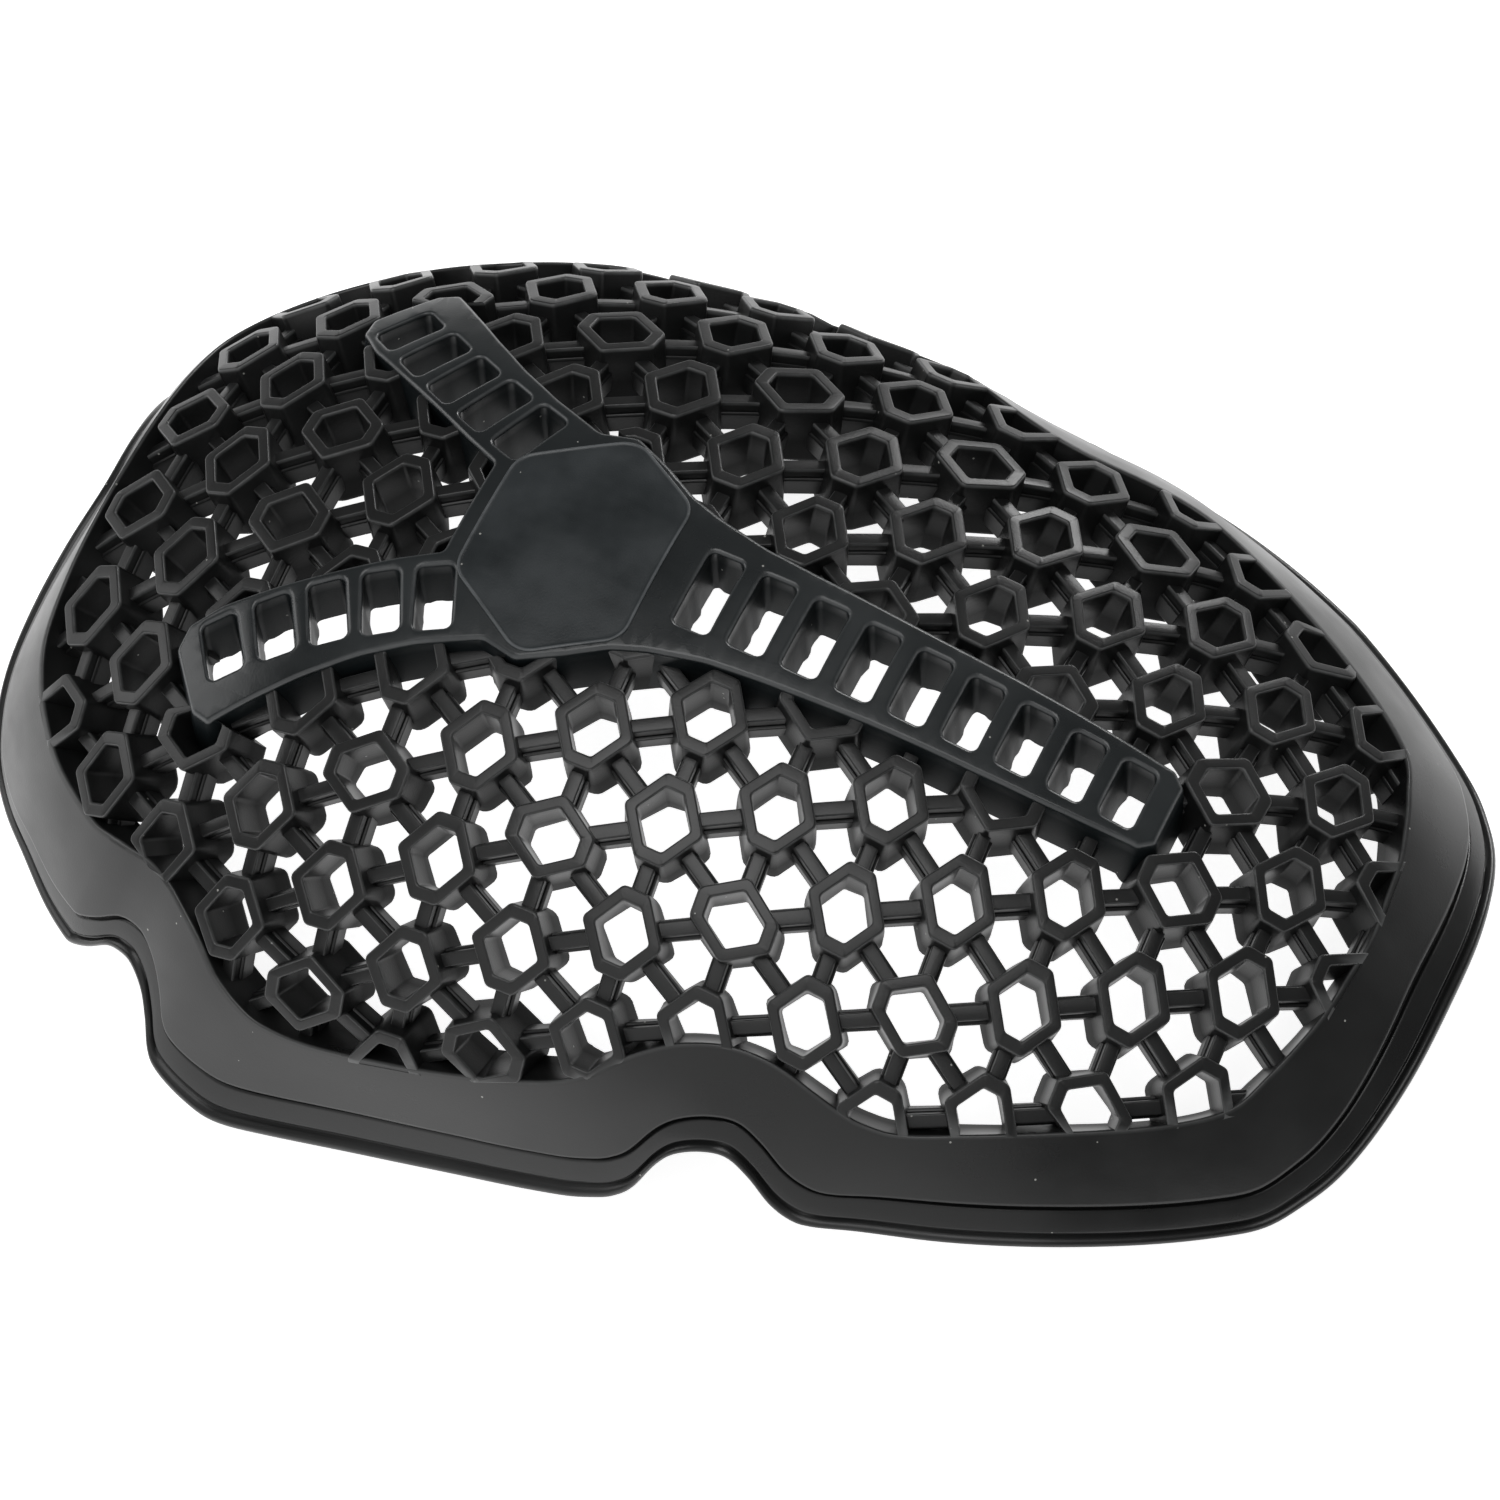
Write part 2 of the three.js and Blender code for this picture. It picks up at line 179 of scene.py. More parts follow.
@dataclass(frozen=True)
class MouldedElastomer:
    """Thermoplastic elastomer, injection moulded in a finely etched tool and left as it came out.

    It gives the eye a deep black with a soft satin sheen on the outer faces, deep walls whose reflection is
    cut back with depth as painted shade, pale bands along the edges that are painted highlights, a fine
    grain, faint cloudy flow marks and a little dust that clings to it.
    """

    name: str
    deep: str = "0c0c0c"
    pale: str = "161717"
    ior: float = 1.5
    roughness: tuple[float, float] = (0.26, 0.42)
    # The real tool's grain is finer; it is drawn this coarse so that it shows
    grain_mm: float = 0.35
    grain_depth_mm: float = 0.012
    # Flow clouds, and flow lines by length and width; what the lines add to the clouds, and the span of their
    # sum over which the roughness changes
    cloud_mm: float = 22.0
    streak_mm: tuple[float, float] = (20.0, 3.0)
    streak_share: float = 0.2
    flow_span: tuple[float, float] = (0.4, 0.8)
    # Dust: its cells, the share of them that hold a speck, and the speck's radius over the cell
    dust: str = "8f8f8b"
    dust_mm: float = 3.2
    dust_share: float = 0.25
    speck: float = 0.055
    # Painted highlight along the edges: depths at which its band starts, is full, starts to end and ends
    edge_highlight_mm: tuple[float, float, float, float] = (0.03, 0.14, 0.36, 0.7)
    # Strength and colour of the painted edge highlight
    edge_highlight_share: float = 0.8
    edge_highlight_colour: str = "4a4b4b"
    # Depths between which the specular level falls from the first sheen value to the second, a painted shade
    # on the deep walls, while the roughness grows by the drag
    shade_and_rough_mm: tuple[float, float] = (1.5, 6.0)
    sheen: tuple[float, float] = (0.5, 0.1)
    drag: float = 0.16

    def build(self) -> bpy.types.Material:
        """Makes the material.

        Wide noise gives flow clouds, noise drawn out along the moulding gives flow lines, and fine noise is
        the grain in the bump. The depth below the outer face, which each piece carries, paints highlights
        along the edges and, by cutting back the reflection, paints shade on the deep walls.

        Returns:
            The finished material.
        """
        material = bpy.data.materials.new(self.name)
        material.use_nodes = True
        tree = material.node_tree
        tree.nodes.clear()
        place = add_node(tree, "ShaderNodeTexCoord", {}).outputs["Object"]
        depth = add_node(tree, "ShaderNodeAttribute", {}, attribute_name=DEPTH).outputs["Fac"]
        cloud = add_node(tree, "ShaderNodeTexNoise", {
            "Vector": place, "Scale": 1 / (self.cloud_mm * MM), "Detail": 3.0, "Roughness": 0.55,
        }).outputs["Fac"]
        run, across = (1 / (mm * MM) for mm in self.streak_mm)
        drawn = add_node(tree, "ShaderNodeMapping", {"Vector": place, "Scale": (run, across, across)})
        streak = add_node(tree, "ShaderNodeTexNoise", {
            "Vector": drawn.outputs["Vector"], "Scale": 1.0, "Detail": 3.0, "Roughness": 0.6,
        }).outputs["Fac"]
        grain = add_node(tree, "ShaderNodeTexNoise", {
            "Vector": place, "Scale": 1 / (self.grain_mm * MM), "Detail": 2.0, "Roughness": 0.5})
        bump = add_node(tree, "ShaderNodeBump", {
            "Height": grain.outputs["Fac"], "Distance": self.grain_depth_mm * MM, "Strength": 1.0})
        # Painted shade: the specular level falls with depth, so deep walls and recesses reflect less
        shaded_specular = add_node(tree, "ShaderNodeMapRange", {
            "Value": depth, "From Min": self.shade_and_rough_mm[0], "From Max": self.shade_and_rough_mm[1],
            "To Min": self.sheen[0], "To Max": self.sheen[1]})
        shader = add_node(tree, "ShaderNodeBsdfPrincipled", {
            "Base Color": self.painted_edge_highlights(tree, self.dusted_black(tree, place, cloud), depth, streak),
            "Roughness": self.dragged_gloss(tree, cloud, streak, depth),
            "Normal": bump.outputs["Normal"], "IOR": self.ior, "Specular IOR Level": shaded_specular.outputs["Result"]})
        add_node(tree, "ShaderNodeOutputMaterial", {"Surface": shader.outputs["BSDF"]})
        return material

    def dusted_black(
        self, tree: bpy.types.NodeTree, place: bpy.types.NodeSocket, cloud: bpy.types.NodeSocket,
    ) -> bpy.types.NodeSocket:
        """Mixes the two blacks by the flow clouds, and puts a speck of dust in the middle of a few cells.

        Args:
            tree: The material's node tree.
            place: Position on the piece.
            cloud: The flow clouds.

        Returns:
            The colour.
        """
        black = add_node(tree, "ShaderNodeMix", {
            "Factor": cloud, 6: linear(self.deep), 7: linear(self.pale)}, data_type="RGBA")
        cells = add_node(tree, "ShaderNodeTexVoronoi", {
            "Vector": place, "Scale": 1 / (self.dust_mm * MM), "Randomness": 1.0})
        chosen = add_node(tree, "ShaderNodeSeparateColor", {"Color": cells.outputs["Color"]})
        few = add_node(tree, "ShaderNodeMath", {
            0: chosen.outputs["Red"], 1: self.dust_share}, operation="LESS_THAN")
        near = add_node(tree, "ShaderNodeMath", {
            0: cells.outputs["Distance"], 1: self.speck}, operation="LESS_THAN")
        speck = add_node(tree, "ShaderNodeMath", {
            0: few.outputs[0], 1: near.outputs[0]}, operation="MULTIPLY")
        dusted = add_node(tree, "ShaderNodeMix", {
            "Factor": speck.outputs[0], 6: black.outputs[2], 7: linear(self.dust)}, data_type="RGBA")
        return dusted.outputs[2]

    def painted_edge_highlights(
        self, tree: bpy.types.NodeTree, colour: bpy.types.NodeSocket, depth: bpy.types.NodeSocket,
        streak: bpy.types.NodeSocket,
    ) -> bpy.types.NodeSocket:
        """Paints a highlight as a pale band just below the outer face, unevenly along the flow lines.

        Args:
            tree: The material's node tree.
            colour: What lies under it.
            depth: Depth below the outer face, in millimetres.
            streak: The flow lines.

        Returns:
            The colour.
        """
        start, full, fade, none = self.edge_highlight_mm
        begin = add_node(tree, "ShaderNodeMapRange", {
            "Value": depth, "From Min": start, "From Max": full, "To Min": 0.0, "To Max": 1.0})
        end = add_node(tree, "ShaderNodeMapRange", {
            "Value": depth, "From Min": fade, "From Max": none, "To Min": self.edge_highlight_share, "To Max": 0.0})
        band = add_node(tree, "ShaderNodeMath", {
            0: begin.outputs["Result"], 1: end.outputs["Result"]}, operation="MULTIPLY")
        patchy = add_node(tree, "ShaderNodeMath", {0: band.outputs[0], 1: streak}, operation="MULTIPLY")
        edged = add_node(tree, "ShaderNodeMix", {
            "Factor": patchy.outputs[0], 6: colour, 7: linear(self.edge_highlight_colour)}, data_type="RGBA")
        return edged.outputs[2]

    def dragged_gloss(
        self, tree: bpy.types.NodeTree, cloud: bpy.types.NodeSocket, streak: bpy.types.NodeSocket,
        depth: bpy.types.NodeSocket,
    ) -> bpy.types.NodeSocket:
        """Shifts the roughness by the flow clouds and lines, and adds to it on the deep walls.

        Args:
            tree: The material's node tree.
            cloud: The flow clouds.
            streak: The flow lines.
            depth: Depth below the outer face, in millimetres.

        Returns:
            The roughness.
        """
        flow = add_node(tree, "ShaderNodeMath", {
            0: streak, 1: self.streak_share, 2: cloud}, operation="MULTIPLY_ADD")
        gloss = add_node(tree, "ShaderNodeMapRange", {
            "Value": flow.outputs[0], "From Min": self.flow_span[0], "From Max": self.flow_span[1],
            "To Min": self.roughness[0], "To Max": self.roughness[1]})
        drag = add_node(tree, "ShaderNodeMapRange", {
            "Value": depth, "From Min": self.shade_and_rough_mm[0], "From Max": self.shade_and_rough_mm[1],
            "To Min": 0.0, "To Max": self.drag})
        rough = add_node(tree, "ShaderNodeMath", {0: gloss.outputs["Result"], 1: drag.outputs["Result"]})
        return rough.outputs[0]


@dataclass(frozen=True)
class PaleFloor:
    """Matt white acrylic on a light table: even and almost white, also under the dome."""

    name: str = "matt white acrylic light table"
    colour: str = "f4f4f4"
    glow: float = 0.86

    def build(self) -> bpy.types.Material:
        """Makes the floor's material.

        Returns:
            The finished material.
        """
        material = bpy.data.materials.new(self.name)
        material.use_nodes = True
        tree = material.node_tree
        tree.nodes.clear()
        shader = add_node(tree, "ShaderNodeBsdfPrincipled", {
            "Base Color": linear(self.colour), "Roughness": 0.8, "Emission Color": linear("ffffff"),
            "Emission Strength": self.glow})
        add_node(tree, "ShaderNodeOutputMaterial", {"Surface": shader.outputs["BSDF"]})
        return material


def dome_face(s: np.ndarray, t: np.ndarray) -> np.ndarray:
    """Outer face above flat positions: a short power series in s and t.

    Args:
        s: Flat positions along the dome, in millimetres.
        t: Flat positions across it.

    Returns:
        Points of the same shape with x, y and z last.
    """
    d, e = s / S_UNIT, t / T_UNIT
    power = d[..., None] ** DOME_TERMS[:, 0] * e[..., None] ** DOME_TERMS[:, 1]
    x, y, z = (power @ DOME_TERMS[:, k] for k in (2, 3, 4))
    return np.stack([x, e * (T_UNIT + y), z], axis=-1)


def dome_axes(s: np.ndarray, t: np.ndarray) -> tuple[np.ndarray, np.ndarray, np.ndarray]:
    """Slopes of the outer face along and across, over a millimetre each, and their cross product's direction.

    Args:
        s: Flat positions along the dome, in millimetres.
        t: Flat positions across it.

    Returns:
        The slope along, the slope across and the outward normal.
    """
    along = dome_face(s + 0.5, t) - dome_face(s - 0.5, t)
    across = dome_face(s, t + 0.5) - dome_face(s, t - 0.5)
    normal = np.cross(along, across)
    return along, across, normal / np.linalg.norm(normal, axis=-1, keepdims=True)


def bend(flat: np.ndarray) -> np.ndarray:
    """Bends flat points onto the dome and lays the dome on the ground.

    A point is the outer face's point plus w times its normal. The whole is then turned about the Y axis and
    shifted to where it lies.

    Args:
        flat: Points with s, t and w last, in millimetres.

    Returns:
        Points with x, y and z last, in metres.
    """
    s, t, w = flat[..., 0], flat[..., 1], flat[..., 2]
    _, _, normal = dome_axes(s, t)
    point = dome_face(s, t) + w[..., None] * normal
    return (point @ rest_turn().T + REST_SHIFT) * MM


def draw_lean(place: np.ndarray) -> np.ndarray:
    """How far a wall that follows the tool's cores leans over the dome for each millimetre of depth.

    The cores' way is split into its parts along the dome's two slopes, and both are divided by its part along
    the inward normal.

    Args:
        place: Flat positions with s and t last.

    Returns:
        The lean along s and t, of the same shape.
    """
    along, across, normal = dome_axes(place[..., 0], place[..., 1])
    parts = [(slope @ CORE_WAY) / np.sum(slope * slope, axis=-1) for slope in (along, across)]
    return np.stack(parts, axis=-1) / -(normal @ CORE_WAY)[..., None]


def rest_turn() -> np.ndarray:
    """The turn about the Y axis that lays the dome down."""
    return np.array(Matrix.Rotation(REST_PITCH, 3, "Y"))


def mirrored(half: np.ndarray) -> np.ndarray:
    """Closes half an outline with its mirror image in t; the odd columns hold t."""
    far = half[-2:0:-1].copy()
    far[:, 1::2] *= -1
    return np.vstack([half, far])


def spline(ring: np.ndarray, steps: int) -> np.ndarray:
    """Smooth closed curve through a ring's points.

    Each pair of points is joined by a cubic whose slopes come from the points' neighbours.

    Args:
        ring: Points in order, any number of columns.
        steps: New points for each old one.

    Returns:
        The points of the curve.
    """
    u = np.linspace(0, 1, steps, endpoint=False)[None, :, None]
    a, b, c, d = (np.roll(ring, k, axis=0)[:, None, :] for k in (1, 0, -1, -2))
    curve = b + 0.5 * u * (c - a + u * (2 * a - 5 * b + 4 * c - d + u * (3 * (b - c) + d - a)))
    return curve.reshape(-1, ring.shape[1])


def divide(ring: np.ndarray, longest: float) -> np.ndarray:
    """Puts points on a closed ring's long sides: each side is cut into equal parts no longer than a limit.

    Args:
        ring: Points in order.
        longest: The limit.

    Returns:
        The ring with the added points.
    """
    side = np.roll(ring, -1, axis=0) - ring
    parts = np.maximum(1, np.ceil(np.linalg.norm(side, axis=1) / longest)).astype(int)
    share = (np.arange(parts.sum()) - np.repeat(np.cumsum(parts) - parts, parts)) / np.repeat(parts, parts)
    return np.repeat(ring, parts, axis=0) + share[:, None] * np.repeat(side, parts, axis=0)


def cut_corners(ring: np.ndarray, radius: float, rounds: int, sharp_cosine: float = 0.87) -> np.ndarray:
    """Rounds a closed ring near its corners only.

    Every corner first gets a neighbour on each side, a radius away where the ring turns sharply and a third
    of the shorter side where it does not. Each round then puts two points on every side, a quarter from its
    ends.

    Args:
        ring: Points in order.
        radius: How far from a sharp corner the rounding starts.
        rounds: How often.
        sharp_cosine: Cosine of the turn from which a corner is sharp.

    Returns:
        The rounded ring.
    """
    side = np.roll(ring, -1, axis=0) - ring
    length = np.linalg.norm(side, axis=1, keepdims=True)
    run, before = side / length, np.roll(side / length, 1, axis=0)
    soft = np.minimum(length, np.roll(length, 1, axis=0)) / 3
    sharp = np.sum(run * before, axis=1, keepdims=True) < sharp_cosine
    reach = np.where(sharp, np.minimum(radius, soft), soft)
    ring = np.stack([ring - reach * before, ring, ring + reach * run], axis=1).reshape(-1, 2)
    for _ in range(rounds):
        after = np.roll(ring, -1, axis=0)
        ring = np.stack([0.75 * ring + 0.25 * after, 0.25 * ring + 0.75 * after], axis=1).reshape(-1, 2)
    return ring


def rounded_ring(corners: np.ndarray, radius: float, steps: int) -> np.ndarray:
    """Outline with round corners: at each corner an arc turns from one side's outward normal to the next's.

    Args:
        corners: Corners of a convex outline, anticlockwise.
        radius: Of the corners.
        steps: Points on each arc.

    Returns:
        The points of the outline.
    """
    run = np.roll(corners, -1, axis=0) - corners
    after = np.stack([run[:, 1], -run[:, 0]], axis=1) / np.linalg.norm(run, axis=1, keepdims=True)
    before = np.roll(after, 1, axis=0)
    share = 1 + np.sum(before * after, axis=1, keepdims=True)
    middle = corners - radius * (before + after) / share
    start = np.arctan2(before[:, 1], before[:, 0])
    turn = np.arccos(np.clip(share[:, 0] - 1, -1, 1))
    angle = start[:, None] + turn[:, None] * np.linspace(0, 1, steps)
    arc = radius * np.stack([np.cos(angle), np.sin(angle)], axis=-1)
    return (middle[:, None, :] + arc).reshape(-1, 2)


def outward(ring: np.ndarray) -> np.ndarray:
    """Outward normals of a closed anticlockwise ring, across the chord between each point's neighbours."""
    run = np.roll(ring, -1, axis=0) - np.roll(ring, 1, axis=0)
    run /= np.linalg.norm(run, axis=1, keepdims=True)
    return np.stack([run[:, 1], -run[:, 0]], axis=1)


def depth_inside(ring: np.ndarray, points: np.ndarray) -> tuple[np.ndarray, np.ndarray]:
    """Distance of points inside a closed ring, negative outside, and the nearest point of the ring.

    The nearest point is taken over all sides. From inside, a ray along s crosses the ring an odd number of
    times.

    Args:
        ring: Points of the ring in order.
        points: Flat positions, one a row.

    Returns:
        The depths, and the nearest points.
    """
    a, b = ring, np.roll(ring, -1, axis=0)
    side = b - a
    off = points[:, None, :] - a
    share = np.clip(np.sum(off * side, axis=2) / np.sum(side * side, axis=1), 0, 1)
    gap = off - share[..., None] * side
    length = np.linalg.norm(gap, axis=2)
    best = np.argmin(length, axis=1)
    rows = np.arange(len(points))
    s, t = points[:, None, 0], points[:, None, 1]
    spans = (a[:, 1] > t) != (b[:, 1] > t)
    rise = np.where(side[:, 1] == 0, TINY, side[:, 1])
    crossed = spans & (s < a[:, 0] + side[:, 0] * (t - a[:, 1]) / rise)
    sign = np.where(crossed.sum(axis=1) % 2 == 1, 1.0, -1.0)
    return sign * length[rows, best], points - gap[rows, best]


def loop_faces(rings: int, around: int, closed: bool) -> np.ndarray:
    """Quads of a grid that is closed around, and along it too if asked.

    Args:
        rings: Rows of the grid.
        around: Points in a row.
        closed: Whether the last row joins the first.

    Returns:
        Four vertex numbers a face.
    """
    row = np.arange(rings if closed else rings - 1)[:, None] * around
    nxt = (row + around) % (rings * around)
    i = np.arange(around)[None, :]
    j = (i + 1) % around
    return np.stack([row + i, row + j, nxt + j, nxt + i], axis=-1).reshape(-1, 4)


def make_piece(
    name: str, flat: np.ndarray, faces: Sequence, material: bpy.types.Material, depth: np.ndarray,
) -> bpy.types.Object:
    """Bends flat points onto the dome and puts them into a mesh that stands for the moulding's solid.

    Args:
        name: The piece's name.
        flat: Vertices with s, t and w in millimetres, one a row.
        faces: Vertex numbers of each face.
        material: Its finish.
        depth: How far each vertex lies below the outer face, in millimetres.

    Returns:
        The piece, riding on the body.
    """
    mesh = bpy.data.meshes.new(name)
    mesh.from_pydata(bend(flat).tolist(), [], [list(map(int, face)) for face in faces])
    mesh.validate()
    # The depth drives the material's painted edge highlights and its painted shade on deep walls
    mesh.attributes.new(DEPTH, "FLOAT", "POINT").data.foreach_set("value", depth.astype(np.float32))
    mesh.shade_smooth()
    mesh.set_sharp_from_angle(angle=SHARP_EDGE)
    mesh.materials.append(material)
    piece = bpy.data.objects.new(name, mesh)
    bpy.context.scene.collection.objects.link(piece)
    even = piece.modifiers.new("even shading", "WEIGHTED_NORMAL")
    even.keep_sharp = True
    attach(piece, BODY)
    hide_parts(NODE)
    return piece


@dataclass
class Lattice:
    """Places of the tubes: a three-way lattice that stops at the flange and at the hub and arms."""

    inner: np.ndarray
    crown: np.ndarray
    pitch: float = 18.0
    past_flange: float = 3.5
    under_crown: float = 6.0
    turned_every: int = 4
    # Columns and half-rows to look through, more than the moulding holds
    columns: tuple[int, int] = (-9, 12)
    half_rows: tuple[int, int] = (-15, 16)
    # Steps in columns and half-rows to three of a place's six neighbours; the other three step back
    neighbours: tuple[tuple[int, int], ...] = ((0, 2), (1, 1), (1, -1))
    column: np.ndarray = field(init=False)
    half: np.ndarray = field(init=False)
    centre: np.ndarray = field(init=False)
    is_tube: np.ndarray = field(init=False)

    def __post_init__(self) -> None:
        """Lists every place round the moulding and marks those that hold a tube."""
        column, half = np.meshgrid(np.arange(*self.columns), np.arange(*self.half_rows), indexing="ij")
        keep = (column + half) % 2 == 0
        self.column, self.half = column[keep], half[keep]
        s = self.column * self.pitch * math.sqrt(3) / 2
        self.centre = np.stack([s, self.half * self.pitch / 2], axis=1)
        in_field, _ = depth_inside(self.inner, self.centre)
        in_crown, _ = depth_inside(self.crown, self.centre)
        self.is_tube = (in_field > -self.past_flange) & (in_crown < self.under_crown)

    def turned(self, turn: Turn) -> np.ndarray:
        """Centres of the tubes that lie one way round: every fourth half-row lies along the dome."""
        along = np.abs(self.half) % self.turned_every == 1
        return self.centre[self.is_tube & (along == (turn is Turn.ALONG))]

    def pairs(self) -> tuple[np.ndarray, np.ndarray, np.ndarray, np.ndarray]:
        """Neighbouring places with a tube on at least one side.

        Returns:
            The two ends of each pair, and whether each end is a tube.
        """
        number = {(c, h): i for i, (c, h) in enumerate(zip(self.column.tolist(), self.half.tolist()))}
        pair = np.array([(i, number[c + dc, h + dh]) for (c, h), i in number.items()
                         for dc, dh in self.neighbours if (c + dc, h + dh) in number])
        a, b = pair[self.is_tube[pair].any(axis=1)].T
        return self.centre[a], self.centre[b], self.is_tube[a], self.is_tube[b]


@dataclass
class TubeField:
    """The open hexagonal tubes, whole in the field and cut off at the flange and the arms."""

    lattice: Lattice
    half_length: float = 6.8
    half_width: float = 6.7
    end_flat: float = 4.4
    depth: float = 10.0
    foot_growth: float = 1.16
    mouth: float = 0.68
    waist: float = 0.09
    foot_flare: float = 0.08
    corner_top: float = 1.1
    corner_foot: float = 2.2
    corner_hole: float = 0.8
    corner_points: int = 4
    # Flash at the feet: how far it reaches, the depths it starts and is full at, its waves round a tube, and
    # how its phase shifts from tube to tube over a millimetre of s and of t
    uneven: float = 0.35
    flash_depths: tuple[float, float] = (4.0, 9.0)
    flash_waves: tuple[int, int] = (3, 5)
    flash_phase: tuple[float, float] = (0.37, 0.61)
    # How deep a cut tube stands in the wall that cuts it, and how far past a limit a point may stay
    sunk: float = 1.0
    spare: float = 0.2
    # Past the flange's inner line: height of the top and of the foot there, and their slopes outwards
    tucked_top: tuple[float, float] = (-0.04, -0.2)
    tucked_foot: tuple[float, float] = (-8.6, 0.1)
    # Wall section: share of the way from the outside to the hole, and height
    section: tuple[tuple[float, float], ...] = (
        (1.0, -0.42), (0.97, -0.19), (0.92, -0.06), (0.82, 0.0), (0.18, 0.0), (0.08, -0.06), (0.03, -0.19),
        (0.0, -0.42), (0.0, -3.0), (0.0, -6.2), (0.0, -9.2), (0.06, -9.75), (0.22, -10.0), (0.78, -10.0),
        (0.94, -9.75), (1.0, -9.2), (1.0, -5.0),
    )

    def corners(self, turn: Turn) -> np.ndarray:
        """Six corners of a tube, anticlockwise."""
        a, b, c = self.end_flat / 2, self.half_length, self.half_width
        six = np.array([[a, b], [-a, b], [-c, 0], [-a, -b], [a, -b], [c, 0]])
        return np.stack([-six[:, 1], six[:, 0]], axis=1) if turn is Turn.ALONG else six

    def wall(self, turn: Turn) -> np.ndarray:
        """One tube about its own middle.

        The section runs round the hexagon; a point lies a share of the way from the outer outline to the
        hole's, and both outlines change with depth: the outer one grows and rounds, and the hole narrows to a
        waist at mid depth, where the tool's two cores meet, and flares again towards the foot.

        Args:
            turn: Which way round it lies.

        Returns:
            Flat points, a row for each point of the section.
        """
        share, w = np.array(self.section).T[:, :, None, None]
        down = -w / self.depth
        six = self.corners(turn)
        top = rounded_ring(six, self.corner_top, self.corner_points)
        foot = rounded_ring(six * self.foot_growth, self.corner_foot, self.corner_points)
        hole = rounded_ring(six * self.mouth, self.corner_hole, self.corner_points)
        outside = top + down * (foot - top)
        inside = hole * (1 - self.waist * (1 - np.abs(1 - 2 * down)) + self.foot_flare * down)
        flat = outside + share * (inside - outside)
        return np.concatenate([flat, np.broadcast_to(w, flat.shape[:2] + (1,))], axis=2)

    def roughen(self, flat: np.ndarray, centre: np.ndarray) -> np.ndarray:
        """Makes the feet uneven, as thin flash left them.

        Each point moves away from its tube's middle or towards it by the product of two sine waves of its
        bearing; their phase differs from tube to tube, and the waves grow from nothing at mid depth to the
        foot.

        Args:
            flat: Points of all tubes, tubes first.
            centre: Middles of the tubes.

        Returns:
            The moved points.
        """
        off = flat[..., :2] - centre[:, None, None, :]
        bearing = np.arctan2(off[..., 1], off[..., 0])
        phase = (centre @ np.array(self.flash_phase))[:, None, None]
        slow, quick = self.flash_waves
        wave = np.sin(slow * bearing + phase) * np.sin(quick * bearing - 2 * phase)
        wave *= self.uneven * np.interp(-flat[..., 2], self.flash_depths, (0, 1))
        flat[..., :2] += wave[..., None] * off / np.linalg.norm(off, axis=-1, keepdims=True)
        return flat

    def cut(self, flat: np.ndarray, centre: np.ndarray) -> np.ndarray:
        """Draws what lies past the flange's inner line or under the crown back into their walls.

        Near each tube the line is taken as straight: a point past it by more than the sunk depth moves
        straight back to that depth. A point that is still deep under the crown, near one of its corners,
        moves to that depth from the nearest wall. Past the flange's inner line the top falls a little and so
        ends in the flange's face, and the foot rises off its underside.

        Args:
            flat: Points of all tubes, tubes first.
            centre: Middles of the tubes.

        Returns:
            The moved points.
        """
        for ring, inside_out in ((self.lattice.inner, 1.0), (self.lattice.crown, -1.0)):
            depth, near = depth_inside(ring, centre)
            out = (near - centre) * np.sign(depth)[:, None]
            out /= np.maximum(np.linalg.norm(out, axis=1, keepdims=True), TINY)
            out *= inside_out
            past = np.einsum("npqk,nk->npq", flat[..., :2] - near[:, None, None, :], out) - self.sunk
            flat[..., :2] -= np.maximum(past, 0)[..., None] * out[:, None, None, :]
        place = flat[..., :2].reshape(-1, 2)
        depth, near = depth_inside(self.lattice.crown, place)
        deep = depth > self.sunk + self.spare
        place[deep] = near[deep] + (place[deep] - near[deep]) * (self.sunk / depth[deep])[:, None]
        flat[..., :2] = place.reshape(flat.shape[:3] + (2,))
        depth, _ = depth_inside(self.lattice.inner, place)
        past = np.maximum(-depth.reshape(flat.shape[:3]) - self.spare, 0)
        top, foot = (height + slope * past for height, slope in (self.tucked_top, self.tucked_foot))
        flat[..., 2] = np.where(past > 0, np.clip(flat[..., 2], foot, top), flat[..., 2])
        return flat

    def build(self, material: bpy.types.Material) -> bpy.types.Object:
        """Makes all tubes as one mesh of closed rings.

        Args:
            material: Its finish.

        Returns:
            The piece.
        """
        fields = []
        for turn in Turn:
            centre = self.lattice.turned(turn)
            flat = self.wall(turn)[None] + np.pad(centre, ((0, 0), (0, 1)))[:, None, None, :]
            fields.append(self.cut(self.roughen(flat, centre), centre))
        flat = np.concatenate(fields)
        count, rows, around = flat.shape[:3]
        faces = loop_faces(rows, around, True)[None] + (np.arange(count) * rows * around)[:, None, None]
        flat = flat.reshape(-1, 3)
        return make_piece("tube_field", flat, faces.reshape(-1, 4), material, -flat[:, 2])


